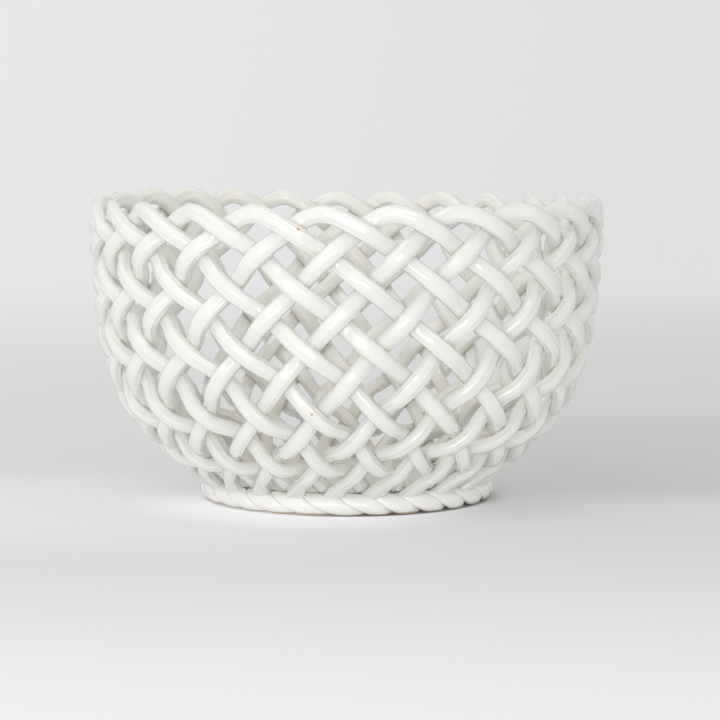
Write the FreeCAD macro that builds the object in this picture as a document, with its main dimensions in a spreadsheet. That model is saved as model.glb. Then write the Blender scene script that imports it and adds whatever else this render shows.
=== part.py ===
import FreeCAD, Part
import math
import os
import Sketcher
from FreeCAD import Placement, Vector

# A woven porcelain basket. The wall is plaited from long strands. Each one rises from the foot,
# bends over the rim as an arch and goes down again, passing over and under the strands it meets.
# The wall stands on a twisted rope foot and on the plain base plate inside it.
# Origin: middle of the footprint, on the surface the basket stands on. +Z is up, -Y the front.

doc = FreeCAD.newDocument("WovenBasket")

# Driving dimensions, in millimetres, degrees, counts and shares
driving_sizes = {
    # wall
    "wall_radius": 114.3,
    "rim_height": 137.5,
    "foot_radius": 60.4,
    "rim_rise": 2.8,
    "rim_rise_angle": -130.0,
    # strands
    "strand_count": 25,
    "strand_width": 8.2,
    "strand_depth": 5.9,
    "crossing_gap": 0.25,
    "flat_width_share": 0.5,
    "foot_width_share": 0.79,
    "first_strand_angle": -32.9,
    "front_spread_angle": 3.9,
    "lean_angle": 5.2,
    # last crossing above the foot, as shares of the way from the foot to the wall and the rim
    "last_row_radius_share": 0.222,
    "last_row_height_share": 0.064,
    # rope foot
    "rope_outset": 4.0,
    "rope_radius": 5.4,
    "rope_flat": 0.5,
    "rope_turns": 14,
    "rope_start_angle": 5.6,
    # base plate
    "base_thickness": 4.8,
    "seat_gap": 0.25,
}

sheet = doc.addObject("Spreadsheet::Sheet", "Sizes")
for line, (alias, value) in enumerate(driving_sizes.items(), start=1):
    sheet.set("A%d" % line, alias)
    sheet.set("B%d" % line, str(value))
    sheet.setAlias("B%d" % line, alias)
doc.recompute()


def size(alias):
    return float(sheet.get(alias))


# The wall, row of crossings by row, from the top of an arch down to the foot:
# radius (foot to widest), height (foot to rim) and turn (of the whole lean of the weave)
wall_row_shares = (
    (1.018, 1.000, 0.00),
    (1.007, 0.949, 0.00),
    (1.000, 0.862, 0.06),
    (0.985, 0.754, 0.27),
    (0.965, 0.646, 0.44),
    (0.932, 0.535, 0.67),
    (0.871, 0.422, 0.85),
    (0.751, 0.302, 1.00),
    (0.594, 0.208, 1.00),
    (0.396, 0.122, 0.92),
)
last_row_turn_share = 0.88
foot_turn_share = 0.85

# Where a strand bends: level stretches either side of a crossing, and two points on the arch,
# all as shares of the way between two crossings
level_share = 0.18
arch_level_share = 0.28
arch_bend_share = 0.36

# Row from which a strand gets narrower towards the foot
taper_first_row = 6

# How fast the raised part of the rim falls away on both sides of its highest place
rim_rise_narrowness = 8

rope_top = 2 * size("rope_radius") - size("rope_flat")
rope_ring_radius = size("foot_radius") + size("rope_outset")
foot_height = rope_top + size("seat_gap")
strand_pitch = 2 * math.pi / size("strand_count")
weave_offset = (size("strand_depth") + size("crossing_gap")) / 2
last_row = len(wall_row_shares)


def wall_curve():
    # Radius, height and turn along a strand, the same on both sides of its arch
    shares = list(wall_row_shares)
    shares.append((size("last_row_radius_share"), size("last_row_height_share"), last_row_turn_share))
    shares.append((0, 0, foot_turn_share))
    rows = []
    for radius_share, height_share, turn_share in shares:
        radius = size("foot_radius") + radius_share * (size("wall_radius") - size("foot_radius"))
        height = foot_height + height_share * (size("rim_height") - foot_height)
        turn = turn_share * math.radians(size("lean_angle")) * size("wall_radius")
        rows.append(Vector(radius, height, turn))
    foot_row = len(rows) - 1
    curve = Part.BSplineCurve()
    curve.interpolate(Points=rows[:0:-1] + rows, Parameters=list(range(-foot_row, foot_row + 1)))
    return curve


wall = wall_curve()


def hand_spacing(angle):
    # The strands were set by hand, a little wider apart at the front than at the back
    return angle + math.radians(size("front_spread_angle")) * math.sin(angle)


def wall_point(strand, row):
    # Middle of the wall where a strand passes a row; rows below zero are on its rising leg
    radius, height, turn = wall.value(row)
    angle = math.radians(size("first_strand_angle")) + strand_pitch * (strand + row / 2)
    angle = hand_spacing(angle + turn / size("wall_radius"))
    # One side of the rim stands a little higher than the rest
    nearness = max(0, math.cos(angle - math.radians(size("rim_rise_angle"))))
    height_share = (height - foot_height) / (size("rim_height") - foot_height)
    height += size("rim_rise") * height_share ** 2 * nearness ** rim_rise_narrowness
    return Vector(radius * math.sin(angle), -radius * math.cos(angle), height)


def wall_normal(strand, row):
    # Square to the wall, pointing out of the basket; the rim goes on as the wall just below it
    place = wall_point(strand, row)
    slope = wall.getD1(max(abs(row), arch_bend_share))[1]
    outward = Vector(place.x, place.y, 0).normalize()
    return (outward * -slope.y + Vector(0, 0, slope.x)).normalize()


def width_share(row):
    # A strand is rolled thinner towards the foot
    way = (abs(row) - taper_first_row) / (last_row - taper_first_row)
    return 1 - (1 - size("foot_width_share")) * min(1, max(0, way))


def strand_outline(strand, row, offset):
    # Six-sided section of a strand, flat where it lies against the strands it crosses
    normal = wall_normal(strand, row)
    step = level_share / 2
    along = wall_point(strand, row + step) - wall_point(strand, row - step)
    across = normal.cross(along).normalize()
    middle = wall_point(strand, row) + normal * offset
    half_width = across * (size("strand_width") * width_share(row) / 2)
    half_flat = half_width * size("flat_width_share")
    half_depth = normal * (size("strand_depth") / 2)
    return [
        middle + half_width,
        middle + half_flat + half_depth,
        middle - half_flat + half_depth,
        middle - half_width,
        middle - half_flat - half_depth,
        middle + half_flat - half_depth,
    ]


def cut_level(outline, direction, height):
    # The end of a leg, cut level where it stands
    return [corner + direction * ((height - corner.z) / direction.z) for corner in outline]


def leg_outlines(strand, side):
    # One leg from its first crossing down to the foot: side +1 falls to the right, -1 to the left
    outlines = []
    for row in range(1, last_row + 1):
        over = side if row % 2 else -side
        before = arch_level_share if row == 1 else level_share
        outlines.append(strand_outline(strand, side * (row - before), over * weave_offset))
        if row < last_row:
            outlines.append(strand_outline(strand, side * (row + level_share), over * weave_offset))
    end = strand_outline(strand, side * last_row, over * weave_offset)
    direction = wall_point(strand, side * (last_row + 1)) - wall_point(strand, side * last_row)
    # An outer leg reaches the rope foot, an inner one stands on the base plate
    outlines.append(cut_level(end, direction, foot_height))
    return outlines


def arch_outlines(strand):
    outlines = []
    for row in (-arch_bend_share, 0, arch_bend_share):
        offset = weave_offset * row / (1 - arch_level_share)
        outlines.append(strand_outline(strand, row, offset))
    return outlines


def faceted_solid(outlines, closed):
    # A solid of flat three-cornered faces between each outline and the next; a closed one is a ring
    corner_count = len(outlines[0])
    points = [tuple(corner) for outline in outlines for corner in outline]
    triangles = []
    for step in range(len(outlines) if closed else len(outlines) - 1):
        here = step * corner_count
        there = (step + 1) % len(outlines) * corner_count
        for corner in range(corner_count):
            other = (corner + 1) % corner_count
            triangles.append((here + corner, here + other, there + other))
            triangles.append((here + corner, there + other, there + corner))
    if not closed:
        last = len(points) - corner_count
        for corner in range(1, corner_count - 1):
            triangles.append((0, corner + 1, corner))
            triangles.append((last, last + corner, last + corner + 1))
    skin = Part.Shape()
    skin.makeShapeFromMesh((points, triangles), size("crossing_gap") / 100)
    solid = Part.Solid(skin)
    if solid.Volume < 0:
        solid.reverse()
    return solid


def woven_strand(strand):
    rising = leg_outlines(strand, -1)
    falling = leg_outlines(strand, 1)
    return faceted_solid(rising[::-1] + arch_outlines(strand) + falling, False)


# The rope: two rolled strands twisted about a ring, cut flat where they meet the table.
# Corners of one strand, as shares of the rope's radius: (along the seam, away from the seam)
rope_corner_shares = ((0, 0), (0.85, 0.33), (0.46, 0.9), (-0.46, 0.9), (-0.85, 0.33))
rope_steps_per_turn = 6


def rope_outline(half, turn_angle):
    # Section of one rope strand where the rope stands at turn_angle round the basket
    twist = math.radians(size("rope_start_angle")) - size("rope_turns") * turn_angle + half * math.pi
    outward = Vector(math.sin(turn_angle), -math.cos(turn_angle), 0)
    upward = Vector(0, 0, 1)
    middle = outward * rope_ring_radius + upward * (size("rope_radius") - size("rope_flat"))
    seam = outward * math.cos(twist) + upward * math.sin(twist)
    away = upward * math.cos(twist) - outward * math.sin(twist)
    half_gap = size("crossing_gap") / 2
    outline = []
    for seam_share, away_share in rope_corner_shares:
        reach = half_gap + away_share * (size("rope_radius") - half_gap)
        outline.append(middle + seam * (seam_share * size("rope_radius")) + away * reach)
    return outline


def rope_strand(half):
    # One closed strand of the rope, cut flat where it stands on the table
    steps = int(size("rope_turns")) * rope_steps_per_turn
    outlines = [rope_outline(half, 2 * math.pi * step / steps) for step in range(steps)]
    reach = rope_ring_radius + 2 * size("rope_radius")
    depth = size("rope_radius")
    table = Part.makeBox(2 * reach, 2 * reach, depth, Vector(-reach, -reach, -depth))
    return faceted_solid(outlines, True).cut(table)


def put_shape(label, shape):
    piece = doc.addObject("Part::Feature", label)
    piece.Label = label
    piece.Shape = shape
    piece.Placement = Placement()
    return piece


def base_plate():
    # A plain round plate inside the rope, as high as the rope
    body = doc.addObject("PartDesign::Body", "base_plate")
    body.Label = "base_plate"
    profile = body.newObject("Sketcher::SketchObject", "base_plate_profile")
    upright = [plane for plane in body.Origin.OriginFeatures if plane.Role == "XZ_Plane"][0]
    profile.AttachmentSupport = [(upright, "")]
    profile.MapMode = "FlatFace"
    radius = rope_ring_radius - size("rope_radius") - size("seat_gap")
    bottom = rope_top - size("base_thickness")
    corners = [
        Vector(0, bottom, 0),
        Vector(radius, bottom, 0),
        Vector(radius, rope_top, 0),
        Vector(0, rope_top, 0),
    ]
    for index in range(4):
        profile.addGeometry(Part.LineSegment(corners[index], corners[(index + 1) % 4]))
    for index in range(4):
        profile.addConstraint(Sketcher.Constraint("Coincident", index, 2, (index + 1) % 4, 1))
    profile.addConstraint(Sketcher.Constraint("Horizontal", 0))
    profile.addConstraint(Sketcher.Constraint("Vertical", 1))
    profile.addConstraint(Sketcher.Constraint("Horizontal", 2))
    profile.addConstraint(Sketcher.Constraint("PointOnObject", 0, 1, -2))
    profile.addConstraint(Sketcher.Constraint("PointOnObject", 2, 2, -2))
    under = "2 * Sizes.rope_radius - Sizes.rope_flat - Sizes.base_thickness"
    inside = "Sizes.foot_radius + Sizes.rope_outset - Sizes.rope_radius - Sizes.seat_gap"
    bound = (
        (Sketcher.Constraint("DistanceY", -1, 1, 0, 1, bottom), under),
        (Sketcher.Constraint("DistanceX", 0, 1, 0, 2, radius), inside),
        (Sketcher.Constraint("DistanceY", 1, 1, 1, 2, size("base_thickness")), "Sizes.base_thickness"),
    )
    for constraint, expression in bound:
        number = profile.addConstraint(constraint)
        profile.setExpression("Constraints[%d]" % number, expression)
    plate = body.newObject("PartDesign::Revolution", "base_plate_turned")
    plate.Profile = profile
    plate.ReferenceAxis = (profile, ["V_Axis"])
    plate.Angle = 360
    doc.recompute()
    return body


pieces = [base_plate()]
pieces.append(put_shape("foot_rope_a", rope_strand(0)))
pieces.append(put_shape("foot_rope_b", rope_strand(1)))
for strand in range(int(size("strand_count"))):
    pieces.append(put_shape("strand_%02d" % (strand + 1), woven_strand(strand)))
doc.recompute()

for item in doc.Objects:
    if "Invalid" in item.State or "Error" in item.State:
        raise RuntimeError("%s did not build: %s" % (item.Label, item.State))
for piece in pieces:
    if piece.Shape.isNull() or not piece.Shape.isValid() or piece.Shape.Volume <= 0:
        raise RuntimeError("%s has no sound shape" % piece.Label)

os.makedirs("parts", exist_ok=True)
for piece in pieces:
    piece.Shape.exportStep("parts/%s.step" % piece.Label)
print("%d pieces written" % len(pieces))
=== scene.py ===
import math
import bpy
import numpy as np
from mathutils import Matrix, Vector


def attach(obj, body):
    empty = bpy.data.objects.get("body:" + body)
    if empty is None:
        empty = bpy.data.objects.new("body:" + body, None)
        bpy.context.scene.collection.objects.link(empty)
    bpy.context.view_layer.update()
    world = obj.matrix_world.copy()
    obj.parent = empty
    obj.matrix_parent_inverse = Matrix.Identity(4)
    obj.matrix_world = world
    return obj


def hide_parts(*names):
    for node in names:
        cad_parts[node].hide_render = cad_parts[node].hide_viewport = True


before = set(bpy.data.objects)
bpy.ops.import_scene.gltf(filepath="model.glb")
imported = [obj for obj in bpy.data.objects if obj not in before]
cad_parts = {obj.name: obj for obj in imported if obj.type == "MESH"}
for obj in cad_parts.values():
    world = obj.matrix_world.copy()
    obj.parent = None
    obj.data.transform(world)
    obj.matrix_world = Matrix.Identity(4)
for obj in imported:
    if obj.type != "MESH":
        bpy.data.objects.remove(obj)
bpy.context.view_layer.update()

# A woven porcelain basket: 25 long strands plaited into an open wall with an arched rim,
# a twisted rope foot and a plain base plate. Metres, the front of the basket towards -Y.

millimetres = 1000
upward = np.array([0, 0, 1.0])


# Surfaces

def steps(low, high, value):
    # 0 below low, 1 above high and a soft S between them: t squared times (3 - 2t)
    t = np.clip((value - low) / (high - low), 0, 1)
    return t * t * (3 - 2 * t)


def splineThrough(values, at):
    # Cubic curve through evenly spaced values. The bend at each value solves
    # neighbour + 4 own + neighbour = 6 second differences; between two values the curve is
    # their straight blend plus both bends times (share cubed - share) / 6.
    values = np.asarray(values, float)
    count = len(values)
    system = 4 * np.eye(count) + np.eye(count, k=1) + np.eye(count, k=-1)
    system[0, :2] = (1, -1)
    system[-1, -2:] = (-1, 1)
    differences = np.zeros_like(values)
    differences[1:-1] = 6 * (values[2:] - 2 * values[1:-1] + values[:-2])
    bends = np.linalg.solve(system, differences)
    left = np.clip(np.floor(at).astype(int), 0, count - 2)
    share = (np.asarray(at) - left)[..., None]
    rest = 1 - share
    straight = values[left] * rest + values[left + 1] * share
    bent = bends[left] * (rest ** 3 - rest) + bends[left + 1] * (share ** 3 - share)
    return straight + bent / 6


def unit(vectors):
    return vectors / np.linalg.norm(vectors, axis=-1, keepdims=True)


def tubeFaces(ringCount, around, closed):
    # Quads between each ring and the next; an open tube gets a fan of triangles at each end,
    # to two more points that stand after all the rings
    spans = ringCount if closed else ringCount - 1
    ring, side = np.meshgrid(np.arange(spans), np.arange(around), indexing="ij")
    nextRing, nextSide = (ring + 1) % ringCount, (side + 1) % around
    quads = np.stack([ring * around + side, ring * around + nextSide,
                      nextRing * around + nextSide, nextRing * around + side], -1)
    faces = quads.reshape(-1, 4).tolist()
    if not closed:
        side = np.arange(around)
        nextSide = (side + 1) % around
        last = (ringCount - 1) * around
        total = ringCount * around
        faces += np.stack([np.full(around, total), nextSide, side], -1).tolist()
        faces += np.stack([np.full(around, total + 1), last + side, last + nextSide], -1).tolist()
    return faces


def withEnds(rings):
    # All points of an open tube, and the middle of its first and its last ring
    return np.concatenate([rings.reshape(-1, 3), rings[:1].mean(1), rings[-1:].mean(1)])


def turned(radius, height, around):
    # A profile turned about the upright axis, from the front
    turn = 2 * math.pi * np.arange(around) / around
    return np.stack([radius[:, None] * np.sin(turn), -radius[:, None] * np.cos(turn),
                     height[:, None] + np.zeros(around)], -1)


def newObject(name, data):
    holder = bpy.data.objects.new(name, data)
    bpy.context.scene.collection.objects.link(holder)
    return holder


def smoothMesh(name, points, faces, finish):
    mesh = bpy.data.meshes.new(name)
    mesh.from_pydata(points.tolist(), [], faces)
    mesh.polygons.foreach_set("use_smooth", np.ones(len(mesh.polygons), bool))
    mesh.materials.append(finish)
    mesh.update()
    return newObject(name, mesh)


def putPiece(name, points, faces, finish, node, notes):
    # One finished piece in place of its CAD node, with a number per point for each note
    piece = smoothMesh(name, points, faces, finish)
    for label, numbers in notes.items():
        note = piece.data.attributes.new(label, "FLOAT", "POINT")
        note.data.foreach_set("value", numbers.astype(np.float32))
    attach(piece, "root")
    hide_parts(node)


# Shader maths

class Shade:
    # One socket of a finish; arithmetic on it adds Math nodes
    def __init__(self, finish, socket):
        self.finish = finish
        self.socket = socket

    def sum(self, operation, *values):
        return self.finish.add("ShaderNodeMath", {"operation": operation}, dict(enumerate(values)))

    def __add__(self, other):
        return self.sum("ADD", self, other)

    def __radd__(self, other):
        return self.sum("ADD", other, self)

    def __sub__(self, other):
        return self.sum("SUBTRACT", self, other)

    def __rsub__(self, other):
        return self.sum("SUBTRACT", other, self)

    def __mul__(self, other):
        return self.sum("MULTIPLY", self, other)

    def __rmul__(self, other):
        return self.sum("MULTIPLY", other, self)

    def __truediv__(self, other):
        return self.sum("DIVIDE", self, other)

    def __rtruediv__(self, other):
        return self.sum("DIVIDE", other, self)

    def between(self, low, high):
        # 0 at low, 1 at high (either may be the larger), soft at both ends
        inputs = {"Value": self, "From Min": low, "From Max": high}
        return self.finish.add("ShaderNodeMapRange", {"interpolation_type": "SMOOTHSTEP"}, inputs)


class Finish:
    # A material and its nodes
    def __init__(self, name):
        self.material = bpy.data.materials.new(name)
        self.material.use_nodes = True
        self.tree = self.material.node_tree
        self.tree.nodes.clear()

    def add(self, kind, settings=None, inputs=None, output=0):
        node = self.tree.nodes.new(kind)
        for name, value in (settings or {}).items():
            setattr(node, name, value)
        for name, value in (inputs or {}).items():
            if isinstance(value, Shade):
                self.tree.links.new(value.socket, node.inputs[name])
            else:
                node.inputs[name].default_value = value
        return Shade(self, node.outputs[output])

    def mix(self, factor, first, second):
        # Colour: first where factor is 0, second where it is 1
        return self.add("ShaderNodeMix", {"data_type": "RGBA"}, {0: factor, 6: first, 7: second}, 2)

    def noise(self, place, scale, detail, roughness=0.5):
        return self.add("ShaderNodeTexNoise", {}, {"Vector": place, "Scale": scale, "Detail": detail,
                                                  "Roughness": roughness})

    def bump(self, size, height, under):
        # Bumps of this strength and distance, on top of the ones under them
        strength, distance = size
        inputs = {"Strength": strength, "Distance": distance, "Height": height}
        return self.add("ShaderNodeBump", {}, inputs | under)

    def note(self, label):
        return self.add("ShaderNodeAttribute", {"attribute_name": label}, {}, "Fac")

    def out(self, shader):
        node = self.tree.nodes.new("ShaderNodeOutputMaterial")
        self.tree.links.new(shader.socket, node.inputs["Surface"])
        return self.material


# Glaze

glaze = {
    "white": (0.800, 0.809, 0.788, 1),       # lit glaze
    "coolShare": (0.971, 0.979, 0.985, 1),   # of the same, where the glaze lies a little thicker
    "rope": (0.945, 0.948, 0.925, 1),        # the rope: the same glaze painted lighter, as painted light from the bright table in front
    "plate": (0.770, 0.750, 0.695, 1),       # thin warm glaze on the base plate, painted darker as painted shade where it shows between the legs
    "inside": (0.915, 0.912, 0.875, 1),      # painted light: the side of the wall that faces inwards, painted lighter high up
    "insideLow": (0.740, 0.720, 0.650, 1),   # and painted shade near the foot, darker and warmer
    "insideHeights": (0.015, 0.075),         # from the second colour to the first
    "coolPatches": (0.35, 0.7),              # values of the slow noise where the cool tone lies
    "insideShare": 0.85,
    # Where two strands meet: a tan line of pooled glaze, a faint wide haze of the same tan that is
    # painted shade, and the innermost of the line, darker, which is pooled glaze and a painted contact
    # shadow. A reach is where it starts and where it is full, in millimetres from the other strand; a
    # share is how much it covers.
    "pool": (0.420, 0.330, 0.205, 1),
    "poolReach": (0.60, 0.15),
    "poolShare": 0.50,
    "poolPatches": (0.38, 0.62),             # the line is broken up by the middle noise
    "poolLeast": 0.25,
    "shadeHazeReach": (1.80, 0.0),
    "shadeHazeShare": 0.25,
    "deepPoolAndShadow": (0.130, 0.100, 0.070, 1),
    "deepReach": (0.30, 0.05),
    "deepShare": 0.35,
    "rust": (0.640, 0.270, 0.035, 1),
    "rustSpots": (                           # place and radius of the iron specks
        ((-0.0199, -0.1182, 0.1312), 0.0011), ((-0.0147, -0.1069, 0.0505), 0.0008),
        ((0.0700, -0.0875, 0.0725), 0.0006),
    ),
    "rustEdge": (1.0, 0.55),                 # in radii
    "rustWaves": 0.9,
    "rustShare": 0.9,
    "bareClay": (0.680, 0.545, 0.380, 1),    # unglazed clay that stands on the table
    "bareHeights": (0.0013, 0.00052),        # where it starts and is complete, in waves
    "bareWaves": (0.0012, 0.0040),
    "bareShare": 0.9,
    "notchShadow": (0.050, 0.036, 0.025, 1),       # painted shadow in the notches of the rope at the table
    "notchReach": (1.9, 0.6),
    "notchHeights": (0.0026, 0.0012),
    "notchShare": 0.92,
    "roughness": 0.15,
    "thinRoughness": 0.45,                   # more where the glaze is thin or lies in patches,
    "slowRoughness": 0.10,                   # has pooled or is missing
    "poolRoughness": 0.25,
    "bareRoughness": 0.5,
    "poolDullness": 0.6,
    "coatRoughness": 0.05,
    "refraction": 1.25,
    "slowNoise": (26.0, 2.0),                # scale and detail of the patches, waves and pits
    "middleNoise": (160.0, 3.0),
    "fineNoise": (900.0, 2.0),
    "streakNoise": (3.2, 3.0, 0.6),          # and the roughness of this one
    "streakStretch": 0.6,
    "waves": (0.30, 0.0009),                 # strength and height of the bumps
    "streaks": (0.34, 0.0009),
    "pits": (0.08, 0.0002),
}


def glazedFinish(name, lit, gloss, standsOnTable):
    # White glaze: a slow change of tone, painted light and shade on the side that faces inwards, thin
    # tan pools along the crossings with painted shade round and in them (the attribute "meeting" is the
    # distance to the other strand in millimetres), waves and pits in the gloss
    f = Finish(name)
    place = f.add("ShaderNodeTexCoord", {}, {}, "Object")
    slow = f.noise(place, *glaze["slowNoise"])
    middle = f.noise(place, *glaze["middleNoise"])
    fine = f.noise(place, *glaze["fineNoise"])
    meeting = f.note("meeting")
    cool = tuple(a * b for a, b in zip(lit, glaze["coolShare"]))
    tone = f.mix(slow.between(*glaze["coolPatches"]), lit, cool)
    height = f.add("ShaderNodeSeparateXYZ", {}, {0: place}, 2)
    # painted light and shade on the side that faces inwards: lighter high up, darker and warmer near
    # the foot
    inside = f.mix(height.between(*glaze["insideHeights"]), glaze["insideLow"], glaze["inside"])
    tone = f.mix(f.note("inward") * glaze["insideShare"], tone, inside)
    least = glaze["poolLeast"]
    patchy = least + (1 - least) * middle.between(*glaze["poolPatches"])
    pool = meeting.between(*glaze["poolReach"]) * patchy
    # painted shade: a faint wide tan haze round each crossing; the innermost line is pooled glaze and a
    # painted contact shadow
    colour = f.mix(meeting.between(*glaze["shadeHazeReach"]) * glaze["shadeHazeShare"], tone, glaze["pool"])
    colour = f.mix(pool * glaze["poolShare"], colour, glaze["pool"])
    colour = f.mix(meeting.between(*glaze["deepReach"]) * glaze["deepShare"], colour, glaze["deepPoolAndShadow"])
    for centre, radius in glaze["rustSpots"]:
        away = f.add("ShaderNodeVectorMath", {"operation": "DISTANCE"}, {0: place, 1: centre}, "Value")
        edge = away / radius + glaze["rustWaves"] * (fine - 0.5)
        speck = edge.between(*glaze["rustEdge"]) * glaze["rustShare"]
        colour = f.mix(speck, colour, glaze["rust"])
    roughness = glaze["roughness"] + glaze["thinRoughness"] * (1 - gloss)
    roughness = roughness + glaze["slowRoughness"] * (slow - 0.5) + glaze["poolRoughness"] * pool
    coat = gloss * (1.0 - glaze["poolDullness"] * pool)
    if standsOnTable:
        short, long = glaze["bareWaves"]
        edge = height + short * (middle - 0.5) + long * (slow - 0.5)
        bare = edge.between(*glaze["bareHeights"])
        colour = f.mix(bare * glaze["bareShare"], colour, glaze["bareClay"])
        # painted shadow in the notches of the rope, where it meets the table
        notchShadow = meeting.between(*glaze["notchReach"]) * height.between(*glaze["notchHeights"])
        colour = f.mix(notchShadow * glaze["notchShare"], colour, glaze["notchShadow"])
        roughness = roughness + glaze["bareRoughness"] * bare
        coat = coat * (1.0 - bare)
    rolled = f.add("ShaderNodeCombineXYZ", {}, {0: f.note("sideCosine"), 1: f.note("sideSine"),
                                                2: f.note("along") * glaze["streakStretch"]})
    streaks = f.noise(rolled, *glaze["streakNoise"])
    waves = f.bump(glaze["waves"], middle, {})
    lines = f.bump(glaze["streaks"], streaks, {"Normal": waves})
    pits = f.bump(glaze["pits"], fine, {"Normal": lines})
    shader = f.add("ShaderNodeBsdfPrincipled", {}, {
        "Base Color": colour, "Roughness": roughness, "Coat Weight": coat,
        "Coat Roughness": glaze["coatRoughness"], "IOR": glaze["refraction"], "Normal": pits})
    return f.out(shader)


strandGlaze = glazedFinish("strandGlaze", glaze["white"], 1.0, False)
# the rope's glaze is painted lighter than the wall's, as painted light
ropeGlaze = glazedFinish("ropeGlaze", glaze["rope"], 1.0, True)
# the base plate's glaze is painted darker, as painted shade
plateGlaze = glazedFinish("plateGlaze", glaze["plate"], 0.5, False)
print("glazes made")


# The wall

wall = {
    "radius": 0.11485,
    "rimHeight": 0.1373,
    "footRadius": 0.0604,
    "footHeight": 0.01055,
    "strandCount": 25,
    "firstAngle": math.radians(-32.9),
    "frontSpread": math.radians(3.9),     # the strands stand a little wider apart at the front
    "lean": math.radians(5.2),
    "rimRise": 0.0028,                    # one side of the rim stands a little higher
    "rimRiseAngle": math.radians(-130),
    "rimRisePower": 8,                    # more keeps the rise to a shorter part of the rim
    "topRounding": 0.36,                  # rows over which the wall turns back at an arch's top
    "slopeStep": 0.02,                    # rows each way, to find the slope
    # rows of crossings from the top of an arch down to the foot, as shares of the way from the
    # foot to the widest radius, to the rim, and of the lean
    "rows": (
        (1.018, 1.000, 0.00), (1.007, 0.949, 0.00), (1.000, 0.862, 0.06), (0.985, 0.754, 0.27),
        (0.965, 0.646, 0.44), (0.932, 0.535, 0.67), (0.871, 0.422, 0.85), (0.751, 0.302, 1.00),
        (0.594, 0.208, 1.00), (0.396, 0.122, 0.92), (0.222, 0.064, 0.88), (0.000, 0.000, 0.85),
    ),
}


strands = {
    "width": 0.0080,
    "footWidthShare": 0.77,     # the strands are rolled thinner towards the foot
    "taperFirstRow": 5,
    "depth": 0.0055,            # where two strands are pressed together
    "freeDepth": 0.0060,        # half way between two crossings
    "endThinning": 0.08,        # share of the depth that the pressed ends lose
    "crossingOffset": 0.0026,   # from the middle of the wall to a strand's own middle
    "crossingFlattening": 0.22,
    "squareness": 2.6,          # 2 is an oval, more is squarer
    "flare": 0.40,              # how much a leg widens where it joins the rope
    "innerFlareShare": 0.6,     # of that, on the falling leg
    "outerSink": 0.0020,        # how far the rising leg's end sinks into the rope
    "innerSink": 0.0028,
    "wander": 0.0006,           # sideways, every strand in its own way
    "fillet": 0.00045,          # glaze that fills the corner where two strands meet
    "filletReach": 1.0,         # millimetres from the other strand
    "farOff": 9.0,              # millimetres; what is further counts as this
    "crossingPitch": 0.0175,    # along a strand, from one crossing to the next
    "barReach": (0.0055, 0.0095),   # half the length of the bar that stands for a crossed strand
    "plateLevel": 0.0098,
    "plateGap": 0.0002,
    "ridge": 0.00013,           # height of the long ridges left by rolling
    "handSway": 0.0005,         # of the whole wall, sideways
    "handLift": 0.0016,         # and up and down: one long wave, and three short ones
    "handRipple": 0.0006,
    "widthChange": 0.06,
    "streakShift": 31,          # rows between two strands' streaks, so that no two are alike
    "inwardSide": (0.2, -0.9),  # sine of the side that faces into the basket
    "stepsPerRow": 24,
    "around": 32,
    "capSteps": 5,
    "capLength": 0.45,          # of the round ends, as a share of the depth
    "rowStep": 0.01,            # rows each way, to find a strand's direction
    "barStep": 0.05,
    # rows, counted from the top of the arch: where things end, or begin and are complete
    "lastCrossing": 10,
    "outerEnd": 11.05,          # the rising leg ends in the rope
    "innerEnd": 11.35,          # the falling leg ends on the base plate
    "sinkRows": (10.1, 10.9),
    "outerFlareRows": (10.1, 10.7),
    "innerFlareRows": (10.2, 10.9),
    "lyingRows": (9.6, 10.1),
    "freeFirstRows": (0.5, 1.0),
    "freeLastRows": (9.5, 10.0),
    "thinningRows": (10, 11.3),
}


def wallLine(row):
    # Radius, height and turn of the wall at a row; the rows are the same on both legs
    shares = np.array(wall["rows"])
    low = np.array([wall["footRadius"], wall["footHeight"], 0])
    high = np.array([wall["radius"], wall["rimHeight"], wall["lean"]])
    line = low + shares * (high - low)
    return splineThrough(np.concatenate([line[:0:-1], line]), np.asarray(row) + len(shares) - 1)


handPhases = np.random.default_rng(25).uniform(0, 2 * math.pi, (wall["strandCount"], 8))


def sideStep(strand, row):
    # Angle by which a strand strays from its even place: two slow sines with its own phases,
    # brought to about 1 together
    phases = handPhases[strand % wall["strandCount"]]
    stray = np.sin(0.83 * row + phases[0]) + 0.8 * np.sin(1.9 * row + phases[1])
    return 0.55 * strands["wander"] / wall["radius"] * stray


def wallPlace(strand, row):
    # Middle of the wall where a strand passes a row (below zero on its rising leg): radius and
    # height from the wall's line, angle = first + pitch * (strand + row / 2) + turn,
    # then spread by a small share of its own sine; the rim's rise goes with the square of the
    # height and a high power of the cosine from its highest place
    radius, height, turn = np.moveaxis(wallLine(row), -1, 0)
    pitch = 2 * math.pi / wall["strandCount"]
    angle = wall["firstAngle"] + pitch * (strand + np.asarray(row) / 2) + turn
    angle = angle + wall["frontSpread"] * np.sin(angle) + sideStep(strand, row)
    nearness = np.maximum(0, np.cos(angle - wall["rimRiseAngle"])) ** wall["rimRisePower"]
    share = (height - wall["footHeight"]) / (wall["rimHeight"] - wall["footHeight"])
    height = height + wall["rimRise"] * share ** 2 * nearness
    return np.stack([radius * np.sin(angle), -radius * np.cos(angle), height], -1)


def wallOut(strand, row):
    # Square to the wall and out of the basket; the top of an arch goes on as the wall below it
    depth = np.sqrt(np.asarray(row, float) ** 2 + wall["topRounding"] ** 2)
    slope = wallLine(depth + wall["slopeStep"]) - wallLine(depth - wall["slopeStep"])
    outward = unit(wallPlace(strand, row) * np.array([1, 1, 0]))
    return unit(outward * -slope[..., 1:2] + upward * slope[..., 0:1])


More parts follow.
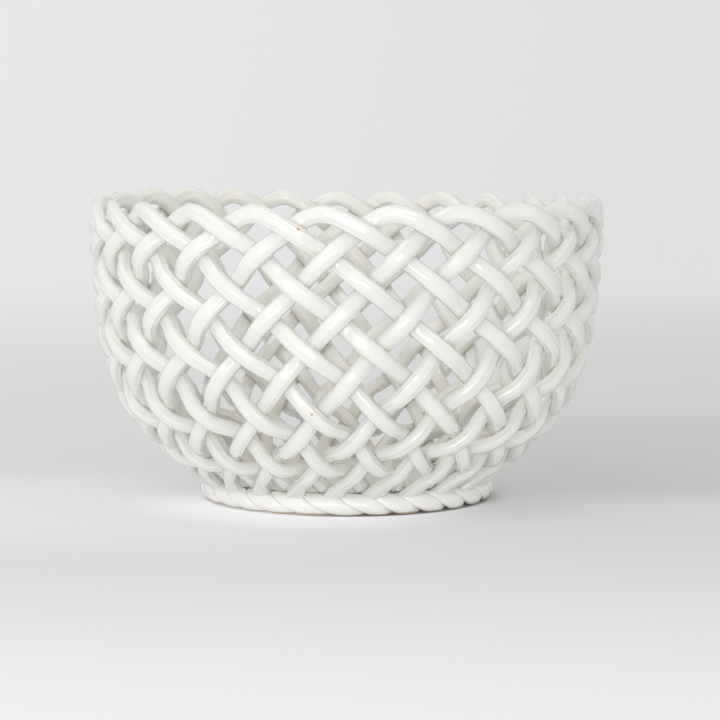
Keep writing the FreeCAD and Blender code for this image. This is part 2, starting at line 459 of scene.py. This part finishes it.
def crossingOffset(row):
    # In and out of the wall: a sine over the arch, then a cosine of the row, a little flattened
    # where strands cross; past the last crossing it stays as it is there
    row = np.asarray(row, float)
    down = np.minimum(np.abs(row), strands["lastCrossing"])
    swing = -np.sign(row) * np.cos(math.pi * down)
    swing = np.where(np.abs(row) < 1, np.sin(math.pi * row / 2), swing)
    flattening = strands["crossingFlattening"]
    return strands["crossingOffset"] * swing * (1 + flattening - flattening * swing * swing)


def handMade(points):
    # Slow sway of the whole wall, nothing at the rim or the foot: sines of the angle and height
    x, y, z = np.moveaxis(points, -1, 0)
    angle = np.arctan2(x, -y)
    share = np.clip(z / wall["rimHeight"], 0, 1)
    window = np.sin(math.pi * share) ** 0.8
    ripple = strands["handRipple"] * np.sin(3 * angle + 5 * share + 1.0)
    lift = window * (strands["handLift"] * np.sin(angle - 0.25) + ripple)
    swings = np.sin(5 * angle + 9 * share) + np.sin(2 * angle - 7 * share + 2)
    sway = window * strands["handSway"] * swings
    along = np.stack([np.cos(angle), np.sin(angle), np.zeros_like(angle)], -1)
    return points + along * sway[..., None] + upward * lift[..., None]


def middleLine(strand, row):
    # The wall's middle moved out or in at the crossings; both legs sink towards the rope below
    # the last of them
    sink = strands["outerSink"] * steps(*strands["sinkRows"], -row)
    sink = sink + strands["innerSink"] * steps(*strands["sinkRows"], row)
    line = wallPlace(strand, row) + wallOut(strand, row) * crossingOffset(row)[..., None]
    return line - upward * sink[..., None]


def rolledWidth(row):
    # Width of a strand, less and less from the taper's first row to the last crossing
    first, last = strands["taperFirstRow"], strands["lastCrossing"]
    taper = np.clip((np.abs(row) - first) / (last - first), 0, 1)
    return strands["width"] * (1 - (1 - strands["footWidthShare"]) * taper)


def strandRows():
    # The row of each ring, with both ends closed like half a ball: there the rings shrink by the
    # cosine of the cap's angle and are pushed out by its sine
    low, high = -strands["outerEnd"], strands["innerEnd"]
    row = np.linspace(low, high, int((high - low) * strands["stepsPerRow"]) + 1)
    cap = np.linspace(0, math.pi / 2, strands["capSteps"] + 2)[1:-1]
    shrink = np.concatenate([np.cos(cap)[::-1], np.ones(len(row)), np.cos(cap)])
    push = np.concatenate([-np.sin(cap)[::-1], np.zeros(len(row)), np.sin(cap)])
    row = np.concatenate([np.full(len(cap), low), row, np.full(len(cap), high)])
    return row, shrink, push


def strandSection(strand, row, shrink):
    # Rounded-square section at each ring, as distances sideways and out of the wall: the signed
    # power 2 / squareness of cosine and sine, wider where a leg joins the rope, thicker between
    # crossings, with long low ridges of two sines that turn slowly along the strand
    theta = 2 * math.pi * np.arange(strands["around"]) / strands["around"]
    cosine, sine = np.cos(theta), np.sin(theta)
    power = 2 / strands["squareness"]
    flat = np.sign(cosine) * np.abs(cosine) ** power
    tall = np.sign(sine) * np.abs(sine) ** power
    phases = handPhases[strand, 2:]
    slowly = np.sin(row * 0.9 + phases[0]) + np.sin(row * 2.3 + phases[1])
    flare = steps(*strands["outerFlareRows"], -row)
    flare = flare + strands["innerFlareShare"] * steps(*strands["innerFlareRows"], row)
    width = (1 - strands["widthChange"] * (0.5 + 0.25 * slowly)) * (1 + strands["flare"] * flare)
    down = np.abs(row)
    free = np.sin(math.pi * row) ** 2 * steps(*strands["freeFirstRows"], down)
    free = free * (1 - steps(*strands["freeLastRows"], down))
    depth = 1 + (strands["freeDepth"] / strands["depth"] - 1) * free
    depth = depth - strands["endThinning"] * steps(*strands["thinningRows"], down)
    ridges = np.sin(7 * theta[None] + phases[2] + 0.35 * slowly[:, None])
    turning = 0.5 * np.sin(row * 0.7 + phases[4])[:, None]
    ridges = strands["ridge"] * (ridges + np.sin(11 * theta[None] + phases[3] + turning))
    sideways = (rolledWidth(row) / 2 * width * shrink)[:, None] * flat[None] + ridges * cosine
    outward = (strands["depth"] / 2 * depth * shrink)[:, None] * tall[None] + ridges * sine
    return sideways[..., None], outward[..., None]


def strandRings(strand):
    # The section carried along the strand's middle line, across and out of the wall; the falling
    # leg lies down on the plate instead of going through it
    row, shrink, push = strandRows()
    step = strands["rowStep"]
    forward = unit(middleLine(strand, row + step) - middleLine(strand, row - step))
    wallForward = wallPlace(strand, row + step) - wallPlace(strand, row - step)
    across = unit(np.cross(wallOut(strand, row), wallForward))
    out = unit(np.cross(forward, across))
    ends = forward * (push * strands["depth"] * strands["capLength"])[:, None]
    middle = middleLine(strand, row) + ends
    sideways, outward = strandSection(strand, row, shrink)
    rings = middle[:, None] + across[:, None] * sideways + out[:, None] * outward
    lying = steps(*strands["lyingRows"], row)[:, None]
    height = rings[..., 2]
    floor = strands["plateLevel"] + strands["plateGap"] * shrink[:, None]
    rings[..., 2] = height + lying * (np.maximum(height, floor) - height)
    return rings


def meetingDistance(strand, points):
    # How far each point is from the strands that this one crosses, in millimetres: at each
    # crossing the other strand is a short bent bar, and the distance is the rounded-square
    # radius of the point in the bar's section, less one, times the bar's half thickness
    step, power = strands["barStep"], strands["squareness"]
    nearest = np.full(points.shape[:-1], strands["farOff"])
    for row in range(-strands["lastCrossing"], strands["lastCrossing"] + 1):
        if row:
            other, otherRow = strand + row, np.float64(-row)
            centre = middleLine(other, otherRow)
            forward = unit(wallPlace(other, otherRow + step) - wallPlace(other, otherRow - step))
            out = wallOut(other, otherRow)
            across = np.cross(out, forward)
            away = points - centre
            along = away @ forward
            swing = np.cos(np.clip(along / strands["crossingPitch"], -1, 1) * math.pi) - 1
            tall = (away @ out - crossingOffset(otherRow) * swing) / (strands["depth"] / 2)
            flat = (away @ across) / (rolledWidth(otherRow) / 2)
            section = (np.abs(tall) ** power + np.abs(flat) ** power) ** (1 / power)
            gap = (section - 1) * millimetres * strands["depth"] / 2
            past = strands["farOff"] * steps(*strands["barReach"], np.abs(along))
            nearest = np.minimum(nearest, gap + past)
    return np.clip(nearest, 0, strands["farOff"])


def fillCorners(rings, meeting):
    # Glaze in the corners: each point moves out from its section's middle by a bell curve of its
    # distance to the other strand
    outward = unit(rings - rings.mean(1, keepdims=True))
    filling = strands["fillet"] * np.exp(-(meeting / strands["filletReach"]) ** 2)
    return rings + outward * filling[..., None]


def strandNotes(strand, meeting):
    # The distance to other strands, where a point lies round and along its own strand, for
    # streaks, and how far it faces inwards; a tube's two end points take their rings' numbers
    side = 2 * math.pi * np.arange(meeting.shape[1]) / meeting.shape[1]
    along = np.arange(meeting.shape[0])[:, None] / strands["stepsPerRow"]
    along = along + strands["streakShift"] * strand
    numbers = {"sideCosine": np.cos(side), "sideSine": np.sin(side), "along": along,
               "inward": steps(*strands["inwardSide"], np.sin(side))}
    notes = {label: np.append(np.broadcast_to(value, meeting.shape), [value.flat[0], value.flat[-1]])
             for label, value in numbers.items()}
    return {"meeting": np.append(meeting, [strands["farOff"]] * 2)} | notes


for strand in range(wall["strandCount"]):
    rings = strandRings(strand)
    meeting = meetingDistance(strand, rings)
    points = withEnds(handMade(fillCorners(rings, meeting)))
    faces = tubeFaces(len(rings), strands["around"], False)
    putPiece("wallStrand%02d" % (strand + 1), points, faces, strandGlaze,
             "strand_%02d" % (strand + 1), strandNotes(strand, meeting))
print("wall strands made")


# The rope foot

rope = {
    "ringRadius": 0.0644,
    "radius": 0.0053,
    "axisHeight": 0.0049,
    "turns": 14,
    "startAngle": math.radians(5.6),
    "sideGroove": 0.25,         # depth of the groove between the strands, as a share of the radius
    "underGroove": 0.50,        # the same underneath, where no glaze fills it
    "underOval": 0.05,          # underneath, the two strands stay apart as two rolls
    "underShares": (0.1, 0.9),  # how far down a side faces, as a share, where it is underneath
    "grooveReach": 0.34,
    "pressed": 0.0002,          # how far the two are pressed into each other
    "pressedFlat": 0.0005,      # what would come lower is pressed flat at the table
    "twistSways": (0.22, 0.10),     # radians by which the hand twisted unevenly
    "meetingStart": 0.45,       # millimetres; where the two touch, the tan line is faint
    "seamCrowding": 0.25,       # how much closer together the points lie near the seam
    "stepsPerTurn": 44,
    "around": 36,
    "seamSteps": 10,
}


def ropeRings(half):
    # One of two strands twisted about a ring: half of a round section, turned by
    # start - turns * angle. Towards the seam the radius shrinks by
    # groove * exp(-|sine of the angle from the seam| / reach), and underneath also by
    # oval * cosine squared of that angle; the other side is the flat seam.
    # What would go under the table is pressed flat.
    count = rope["turns"] * rope["stepsPerTurn"]
    turn = 2 * math.pi * np.arange(count) / count
    slowSway, quickSway = rope["twistSways"]
    twist = rope["startAngle"] - rope["turns"] * turn + half * math.pi
    twist = twist + slowSway * np.sin(5 * turn + 1.1) + quickSway * np.sin(11 * turn + 0.4)
    outward = np.stack([np.sin(turn), -np.cos(turn), np.zeros(count)], -1)
    middle = outward * rope["ringRadius"] + upward * rope["axisHeight"]
    seam = (outward * np.cos(twist)[:, None] + upward * np.sin(twist)[:, None])[:, None]
    away = (upward * np.cos(twist)[:, None] - outward * np.sin(twist)[:, None])[:, None]
    share = np.linspace(-1, 1, rope["around"])
    crowding = 1 + rope["seamCrowding"] * (1 - share ** 2)
    psi = math.pi / 2 * (1 - share * crowding)
    along, apart = np.cos(psi)[None, :, None], np.sin(psi)[None, :, None]
    under = steps(*rope["underShares"], -(seam * along + away * apart)[..., 2])
    groove = rope["sideGroove"] + (rope["underGroove"] - rope["sideGroove"]) * under
    dip = groove * np.exp(-np.abs(apart[..., 0]) / rope["grooveReach"])
    dip = dip + rope["underOval"] * under * along[..., 0] ** 2
    radius = rope["radius"] * (1 - dip)
    skin = seam * along * radius[..., None] + away * (apart * radius[..., None] - rope["pressed"])
    back = np.linspace(0, 1, rope["seamSteps"] + 2)[None, 1:-1, None]
    flatSide = skin[:, -1:] * (1 - back) + skin[:, :1] * back
    rings = middle[:, None] + np.concatenate([skin, flatSide], 1)
    low, least = rings[..., 2], rope["pressedFlat"]
    rings[..., 2] = np.where(low < least, least * np.exp((low - least) / least), low)
    fromSeam = apart[0, :, 0] * rope["radius"] * millimetres
    meeting = rope["meetingStart"] + np.concatenate([fromSeam, np.zeros(rope["seamSteps"])])
    return rings, np.broadcast_to(meeting, rings.shape[:-1])


for half, node in enumerate(("foot_rope_a", "foot_rope_b")):
    rings, meeting = ropeRings(half)
    faces = tubeFaces(len(rings), rings.shape[1], True)
    putPiece("ropeStrand%s" % "AB"[half], rings.reshape(-1, 3), faces, ropeGlaze, node,
             {"meeting": meeting.ravel()})
print("rope foot made")


# The base plate

plate = {
    "radius": 0.0587,
    "bottom": 0.0055,
    "top": 0.0103,
    "edge": 0.0010,             # radius of both rounded corners
    "dish": 0.0004,             # how far the top sinks in the middle
    "around": 240,
    "cornerSteps": 6,
    "flatSteps": 17,
    "firstShare": 0.02,         # of the radius, of the innermost ring
}


def plateRings():
    # Turned plate: level bottom, upright edge with two rounded corners, and a top that sinks
    # by dish * (1 - share of the radius squared)
    edge, flatRadius = plate["edge"], plate["radius"] - plate["edge"]
    bend = np.linspace(0, math.pi / 2, plate["cornerSteps"])
    inner = np.linspace(plate["firstShare"], 1, plate["flatSteps"] + 1)[:-1]
    radius = np.concatenate([
        inner * flatRadius, flatRadius + edge * np.sin(bend),
        flatRadius + edge * np.cos(bend), inner[::-1] * flatRadius])
    height = np.concatenate([
        np.full(len(inner), plate["bottom"]), plate["bottom"] + edge * (1 - np.cos(bend)),
        plate["top"] - edge + edge * np.sin(bend),
        plate["top"] - plate["dish"] * (1 - inner[::-1] ** 2)])
    return turned(radius, height, plate["around"])[:, ::-1]


rings = plateRings()
points = withEnds(rings)
faces = tubeFaces(len(rings), plate["around"], False)
putPiece("basePlate", points, faces, plateGlaze, "base_plate",
         {"meeting": np.full(len(points), strands["farOff"])})
print("base plate made")


# Stage, light and camera

stage = {
    "floorRadius": 1.9,
    "coveRadius": 0.9,
    "around": 96,
    "firstRadius": 0.05,
    "floorSteps": 12,
    "coveSteps": 13,
    "paper": (0.930, 0.930, 0.930, 1),
    "near": (0.850, 0.853, 0.890, 1),
    "middle": (0.550, 0.547, 0.577, 1),
    "far": (0.855, 0.855, 0.888, 1),
    "behindCamera": (0.740, 0.740, 0.770, 1),
    "right": (0.300, 0.275, 0.280, 1),      # painted shade on the side away from the window, and a painted shadow beside the basket
    "lit": (1.100, 1.100, 1.120, 1),        # light on the paper in front and to the left
    "contactShadow": (0.050, 0.042, 0.035, 1),    # painted contact shadow where the rope meets the paper
    "contactLeast": 0.3,
    "glow": 1.05,
    "ownLight": 0.52,     # share of the background that doesn't depend on the lamps
    "ownLightBehind": 0.95,
}

patches = {
    # where each tone comes in: how strongly, along which distance, where it starts and where it
    # is complete. Depth is measured behind the basket, across to its right and away from its
    # axis, in metres.
    "middle": (1, ("depth", -0.50, -0.12)),
    "far": (1, ("depth", 0.10, 1.9)),
    "behindCamera": (1, ("depth", -0.55, -1.3)),
    "right": (0.18, ("across", -0.45, 0.45)),
    "besideShadow": (1, ("across", 0.01, 0.12), ("depth", -0.035, 0.03)),
    "besideShadowFar": (0.25, ("depth", 1.8, 0.5)),
    "besideShadowClose": (0.35, ("depth", 0.45, 0.22)),
    "litBroad": (0.25, ("depth", 0.12, 0.0), ("depth", -0.22, -0.08), ("across", 0.10, -0.05)),
    "litClose": (0.72, ("away", 0.120, 0.064), ("depth", 0.03, -0.04), ("across", 0.080, 0.0)),
    "contactShadow": (0.95, ("away", 0.0692, 0.0664)),
    "contactRight": (0.7, ("across", -0.035, 0.010)),
    "cornerShadow": (0.6, ("away", 0.078, 0.066), ("depth", -0.045, -0.01), ("across", 0.035, 0.065)),
    "ownLightBehind": (1, ("depth", -0.55, -0.95)),
}


def stageFinish():
    # Pale paper: colour by the distance behind the basket, with painted shade on the right, painted
    # shadows beside and under the basket and painted light in front of it, part of it seen as its own
    # light by the camera and in reflections, so that it stays pale and still takes a shadow
    f = Finish("palePaper")
    place = f.add("ShaderNodeTexCoord", {}, {}, "Object")
    distances = {
        "depth": f.add("ShaderNodeSeparateXYZ", {}, {0: place}, 1),
        "across": f.add("ShaderNodeSeparateXYZ", {}, {0: place}, 0),
        "away": f.add("ShaderNodeVectorMath", {"operation": "LENGTH"}, {0: place}, "Value"),
    }

    def patch(name):
        # The patch's strength times a soft step along each distance
        strength, *edges = patches[name]
        soft = [distances[along].between(start, end) for along, start, end in edges]
        return math.prod(soft, start=strength)

    colour = stage["near"]
    # tones by the distance behind the basket, then painted shade on the side away from the window
    for name in ("middle", "far", "behindCamera", "right"):
        colour = f.mix(patch(name), colour, stage[name])
    # painted shadow beside the basket, to its right and behind it
    besideShadow = patch("besideShadow") * (patch("besideShadowFar") + patch("besideShadowClose"))
    colour = f.mix(besideShadow, colour, stage["right"])
    colour = f.mix(patch("litBroad") + patch("litClose"), colour, stage["lit"])
    # painted contact shadow under the rope, and a painted shadow in the corner at its right
    contactShadow = patch("contactShadow") * (stage["contactLeast"] + patch("contactRight"))
    colour = f.mix(patch("cornerShadow"), colour, stage["contactShadow"])
    colour = f.mix(contactShadow, colour, stage["contactShadow"])
    seen = f.add("ShaderNodeLightPath", {}, {}, "Is Camera Ray")
    glossy = f.add("ShaderNodeLightPath", {}, {}, "Is Glossy Ray")
    through = f.add("ShaderNodeLightPath", {}, {}, "Is Transmission Ray")
    paper = f.add("ShaderNodeBsdfDiffuse", {}, {"Color": stage["paper"]})
    own = f.add("ShaderNodeEmission", {}, {"Color": colour, "Strength": stage["glow"]})
    more = stage["ownLightBehind"] - stage["ownLight"]
    share = stage["ownLight"] + more * patch("ownLightBehind")
    share = (seen + glossy + through).between(0.0, 1.0) * share
    return f.out(f.add("ShaderNodeMixShader", {}, {0: share, 1: paper, 2: own}))


def stageBowl():
    # Round floor with a rim that curves up on a quarter circle; one fan closes its middle
    flatPart = np.linspace(stage["firstRadius"], stage["floorRadius"], stage["floorSteps"])
    bend = np.linspace(0, math.pi / 2, stage["coveSteps"] + 1)[1:]
    radius = np.concatenate([flatPart, stage["floorRadius"] + stage["coveRadius"] * np.sin(bend)])
    height = np.concatenate([0 * flatPart, stage["coveRadius"] * (1 - np.cos(bend))])
    around = stage["around"]
    rings = turned(radius, height, around)
    faces = tubeFaces(len(rings), around, False)[:-around]
    points = np.concatenate([rings.reshape(-1, 3), [[0, 0, 0]]])
    smoothMesh("paperStage", points, faces, stageFinish())


stageBowl()

lampAim = Vector((0, 0, 0.07))
lamps = {
    # place, size across and up, watts, colour
    "windowLight": ((-0.90, -0.80, 1.00), (0.07, 0.14), 0.6, (1.0, 0.99, 0.965)),
    "stripLight": ((-0.25, -0.45, 1.15), (0.60, 0.10), 0.8, (1.0, 0.99, 0.97)),
    "topFill": ((-0.90, -0.45, 1.40), (1.8, 1.8), 3.7, (1.0, 0.99, 0.97)),
    "frontFill": ((-0.35, -2.00, 0.75), (3.2, 1.3), 1.6, (1.0, 0.99, 0.97)),
    "lowFill": ((-0.22, -1.45, 0.10), (1.3, 0.32), 8.4, (1.0, 0.99, 0.97)),
    "backFill": ((0.0, 1.2, 1.1), (1.2, 1.2), 0.8, (1.0, 0.985, 0.95)),
}
for name, (place, across, watts, colour) in lamps.items():
    lamp = bpy.data.lights.new(name, "AREA")
    lamp.shape = "RECTANGLE"
    lamp.size, lamp.size_y = across
    lamp.energy = watts
    lamp.color = colour
    holder = newObject(name, lamp)
    holder.location = place
    holder.rotation_euler = (lampAim - Vector(place)).to_track_quat("-Z", "Y").to_euler()
    holder.visible_camera = False

room = {
    "colour": (1.0, 0.99, 0.965, 1),
    "strength": 0.71,
}
world = bpy.data.worlds.new("paleRoom")
world.use_nodes = True
background = world.node_tree.nodes["Background"]
background.inputs["Color"].default_value = room["colour"]
background.inputs["Strength"].default_value = room["strength"]
bpy.context.scene.world = world

view = {
    "place": (0.0062, -1.222, 0.1767),
    "down": math.radians(5.25),
    "lens": 130,
    "sensor": 36,
    "furthest": 20,
}
camera = bpy.data.cameras.new("photographCamera")
camera.lens = view["lens"]
camera.sensor_width = view["sensor"]
camera.sensor_fit = "HORIZONTAL"
camera.clip_end = view["furthest"]
holder = newObject("photographCamera", camera)
holder.location = view["place"]
holder.rotation_euler = (math.pi / 2 - view["down"], 0, 0)
bpy.context.scene.camera = holder
bpy.context.scene.view_settings.view_transform = "Standard"
print("stage, light and camera set")
